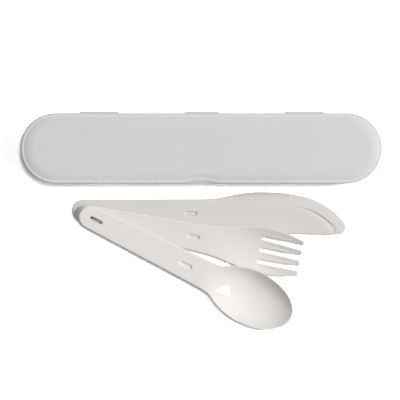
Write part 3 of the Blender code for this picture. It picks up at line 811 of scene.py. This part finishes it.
def bowl_share(p):
    """How much of the bowl's depth applies: from a smooth start at the neck to a steep far rim."""
    x = p[:, 0]
    half = spoon_half_width(x)
    off = np.abs(p[:, 1]) / np.maximum(half, TINY)
    across = np.where(half > 0.0, 1.0 - off ** BOWL_SIDE_POWER, 0.0)
    near = smoothstep((x - BOWL_START_AT) / (BOWL_DEEPEST_AT - BOWL_START_AT))
    far = 1.0 - np.abs((x - BOWL_DEEPEST_AT) / (SPOON_LENGTH - BOWL_DEEPEST_AT)) ** BOWL_SIDE_POWER
    return np.maximum(0.0, across) * np.where(x < BOWL_DEEPEST_AT, near, far)


def spoon_body(material):
    """A spoon with a deep oval bowl, resting on the fork's handle."""
    def top(p):
        return SPOON_THICKNESS - BOWL_DEPTH * bowl_share(p)

    def under(p):
        return top(p) - SPOON_THICKNESS + (SPOON_THICKNESS - BOWL_FLOOR_THICKNESS) * bowl_share(p)

    piece = utensil("spoon_body", spoon_outline(), top, under, material)
    drop = BOWL_DEPTH + BOWL_FLOOR_THICKNESS - SPOON_THICKNESS
    fork_top = fork_lift() + FORK_THICKNESS + FORK_HANDLE_HALF * math.sin(FORK_ROLL)
    set_down(piece, SPOON_END, SPOON_HEADING, 0.0, fork_top + GAP, drop, BOWL_DEEPEST_AT)
    return piece


# Materials

class Shading:
    """A material's node tree, with short ways to add and link nodes."""

    def __init__(self, name):
        self.material = bpy.data.materials.new(name)
        self.material.use_nodes = True
        self.tree = self.material.node_tree
        self.shader = self.tree.nodes["Principled BSDF"]

    def add(self, kind, settings=None, **inputs):
        """Add a node; settings are its own properties, inputs are socket values or linked outputs."""
        node = self.tree.nodes.new(kind)
        for key, value in (settings or {}).items():
            setattr(node, key, value)
        for key, value in inputs.items():
            self.feed(node.inputs[key.replace("_", " ")], value)
        return node

    def feed(self, socket, value):
        if isinstance(value, bpy.types.NodeSocket):
            self.tree.links.new(value, socket)
        else:
            socket.default_value = value

    def blend(self, share, low, high):
        """A colour between two, by a share."""
        node = self.tree.nodes.new("ShaderNodeMix")
        node.data_type = "RGBA"
        self.feed(node.inputs[MIX_SHARE], share)
        self.feed(node.inputs[MIX_LOW], low)
        self.feed(node.inputs[MIX_HIGH], high)
        return node.outputs[MIX_RESULT]

    def span(self, share, low, high):
        """A number that runs from low to high as a noise runs over the shares that it mostly takes."""
        node = self.add("ShaderNodeMapRange", Value=share, From_Min=NOISE_LOW, From_Max=NOISE_HIGH,
                        To_Min=low, To_Max=high)
        return node.outputs[0]


def scaled(tone, gain):
    return (*[min(1.0, channel * gain) for channel in tone], 1.0)


def moulded_plastic(piece, heading):
    """Moulded plastic: faint clouds in its colour, fine grain, shallow sinks, and paler edges that are a
    painted highlight.
    """
    tone, roughness, edge_gain, grain_depth, sink_depth, coat = PLASTICS[piece]
    shading = Shading(piece + "_plastic_look")
    place = shading.add("ShaderNodeTexCoord").outputs["Object"]
    along = shading.add("ShaderNodeMapping", {"vector_type": "TEXTURE"}, Vector=place,
                        Rotation=(0.0, 0.0, heading), Scale=(FLOW_STRETCH, 1.0, 1.0)).outputs["Vector"]
    clouds = shading.add("ShaderNodeTexNoise", Vector=along, Scale=CLOUD_SCALE, Detail=3.0, Roughness=0.5)
    specks = shading.add("ShaderNodeTexNoise", Vector=place, Scale=SPECK_SCALE, Detail=2.0, Roughness=0.6)
    sinks = shading.add("ShaderNodeTexNoise", Vector=along, Scale=SINK_SCALE, Detail=1.0, Roughness=0.4)
    pale_share = shading.add("ShaderNodeAttribute", {"attribute_name": HIGHLIGHT_AND_WEAR}).outputs["Fac"]

    cloud_share = shading.span(clouds.outputs["Fac"], 0.0, 1.0)
    body = shading.blend(cloud_share, scaled(tone, 1.0 - TONE_SPREAD), scaled(tone, 1.0 + TONE_SPREAD))
    # Painted highlight: edges, rims and the flange blend towards a paler tone; at the hinge webs' fold this
    # is whitening of the bent plastic.
    edged = shading.blend(pale_share, body, scaled(tone, edge_gain))
    shading.feed(shading.shader.inputs["Base Color"], edged)
    low, high = roughness - ROUGHNESS_SPREAD, roughness + ROUGHNESS_SPREAD
    shading.feed(shading.shader.inputs["Roughness"], shading.span(specks.outputs["Fac"], low, high))

    sunk = shading.add("ShaderNodeBump", Height=sinks.outputs["Fac"], Strength=1.0, Distance=sink_depth)
    grain = shading.add("ShaderNodeBump", Height=specks.outputs["Fac"], Strength=1.0, Distance=grain_depth,
                        Normal=sunk.outputs["Normal"])
    shading.feed(shading.shader.inputs["Normal"], grain.outputs["Normal"])

    shading.shader.inputs["Subsurface Weight"].default_value = SUBSURFACE_WEIGHT
    shading.shader.inputs["Subsurface Radius"].default_value = SUBSURFACE_RADIUS
    shading.shader.inputs["Subsurface Scale"].default_value = SUBSURFACE_SCALE
    shading.shader.inputs["Coat Weight"].default_value = coat
    shading.shader.inputs["Coat Roughness"].default_value = COAT_ROUGHNESS
    return shading.material


def floor_material():
    """A pale floor that reads white to the camera and in reflections, and keeps the object's shadow."""
    shading = Shading("floor_look")
    shading.tree.nodes.remove(shading.shader)
    rays = shading.add("ShaderNodeLightPath").outputs
    mirrored_rays = shading.add("ShaderNodeMath", {"operation": "MAXIMUM"})
    shading.feed(mirrored_rays.inputs[0], rays["Is Glossy Ray"])
    shading.feed(mirrored_rays.inputs[1], rays["Is Transmission Ray"])
    plain_tone = (FLOOR_TONE, FLOOR_TONE, FLOOR_TONE, 1.0)
    reflected = shading.blend(mirrored_rays.outputs[0], plain_tone, (FLOOR_REFLECTED,) * 3 + (1.0,))
    seen = shading.blend(rays["Is Camera Ray"], reflected, (FLOOR_SEEN,) * 3 + (1.0,))
    diffuse = shading.add("ShaderNodeBsdfDiffuse", Color=seen)
    output = shading.tree.nodes["Material Output"]
    shading.feed(output.inputs["Surface"], diffuse.outputs["BSDF"])
    return shading.material


# Stage, light and camera

def add_floor():
    mesh_data = bmesh.new()
    corners = []
    for x, y in ((-1, -1), (1, -1), (1, 1), (-1, 1)):
        corners.append(mesh_data.verts.new((FLOOR_HALF * x, FLOOR_HALF * y, -FLOOR_DROP)))
    mesh_data.faces.new(corners)
    mesh = bpy.data.meshes.new("floor")
    mesh_data.to_mesh(mesh)
    mesh_data.free()
    mesh.materials.append(floor_material())
    floor = bpy.data.objects.new("floor", mesh)
    bpy.context.scene.collection.objects.link(floor)


def add_world():
    """An even ambient light that cameras and reflections see as white."""
    world = bpy.data.worlds.new("studio")
    world.use_nodes = True
    bpy.context.scene.world = world
    tree = world.node_tree
    rays = tree.nodes.new("ShaderNodeLightPath")
    seen = tree.nodes.new("ShaderNodeMath")
    seen.operation = "MAXIMUM"
    tree.links.new(rays.outputs["Is Camera Ray"], seen.inputs[0])
    tree.links.new(rays.outputs["Is Glossy Ray"], seen.inputs[1])
    also = tree.nodes.new("ShaderNodeMath")
    also.operation = "MAXIMUM"
    tree.links.new(seen.outputs[0], also.inputs[0])
    tree.links.new(rays.outputs["Is Transmission Ray"], also.inputs[1])
    strength = tree.nodes.new("ShaderNodeMapRange")
    strength.inputs["To Min"].default_value = AMBIENT_SHARE
    strength.inputs["To Max"].default_value = 1.0
    tree.links.new(also.outputs[0], strength.inputs["Value"])
    background = tree.nodes["Background"]
    background.inputs["Color"].default_value = (1.0, 1.0, 1.0, 1.0)
    tree.links.new(strength.outputs[0], background.inputs["Strength"])


def add_lamp(name, share, azimuth, elevation, size, reflected):
    """A soft lamp aimed at the pack. Share is the brightness that it gives a flat white surface."""
    azimuth = math.radians(azimuth)
    elevation = math.radians(elevation)
    lamp = bpy.data.lights.new(name, "AREA")
    lamp.shape = "RECTANGLE"
    lamp.size, lamp.size_y = size
    lamp.energy = share * math.pi ** 2 * LAMP_DISTANCE ** 2 / math.sin(elevation)
    flat = math.cos(elevation)
    way = Vector((flat * math.cos(azimuth), flat * math.sin(azimuth), math.sin(elevation)))
    item = bpy.data.objects.new(name, lamp)
    item.location = pack_centre() + way * LAMP_DISTANCE
    item.rotation_mode = "QUATERNION"
    item.rotation_quaternion = (-way).to_track_quat("-Z", "Y")
    item.visible_camera = False
    item.visible_glossy = reflected
    bpy.context.scene.collection.objects.link(item)


def photo_place(pixel_x, pixel_y):
    """The point of the table under a pixel of the photograph."""
    right = (pixel_x - CASE_CENTRE_PIXEL[0]) * METRES_PER_PIXEL
    up = (CASE_CENTRE_PIXEL[1] - pixel_y) * METRES_PER_PIXEL
    return Vector((right, up, 0.0))


def pack_centre():
    return photo_place(IMAGE_PIXELS / 2, IMAGE_PIXELS / 2)


def add_camera():
    """A long lens straight above the photograph's middle."""
    data = bpy.data.cameras.new("camera")
    data.sensor_width = SENSOR_WIDTH
    covered = IMAGE_PIXELS * METRES_PER_PIXEL
    data.lens = SENSOR_WIDTH * (CAMERA_HEIGHT - TRAY_TOP) / covered
    camera = bpy.data.objects.new("camera", data)
    camera.location = pack_centre() + Vector((0.0, 0.0, CAMERA_HEIGHT))
    bpy.context.scene.collection.objects.link(camera)
    bpy.context.scene.camera = camera


# Assembly

def place_case():
    case_plastic = moulded_plastic("case", 0.0)
    for piece, node, body in (
        (tray_shell(case_plastic), "case_base", "base"),
        (lid_shell(case_plastic), "case_lid", "lid"),
    ):
        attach(piece, body)
        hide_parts(node)


def place_webs():
    web_plastic = moulded_plastic("web", 0.0)
    for side in ("left", "middle", "right"):
        node = "hinge_web_" + side
        piece = hinge_web("web_" + side, node, web_plastic)
        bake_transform(piece)
        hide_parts(node)


def place_utensils():
    for make, node, heading in (
        (knife_body, "knife", KNIFE_HEADING),
        (fork_body, "fork", FORK_HEADING),
        (spoon_body, "spoon", SPOON_HEADING),
    ):
        piece = make(moulded_plastic(node, heading))
        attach(piece, "base")
        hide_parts(node)


def main():
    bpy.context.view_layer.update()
    bpy.context.scene.view_settings.view_transform = "Standard"
    add_camera()
    add_world()
    add_floor()
    for lamp in LAMPS:
        add_lamp(*lamp)
    place_case()
    place_webs()
    place_utensils()


main()
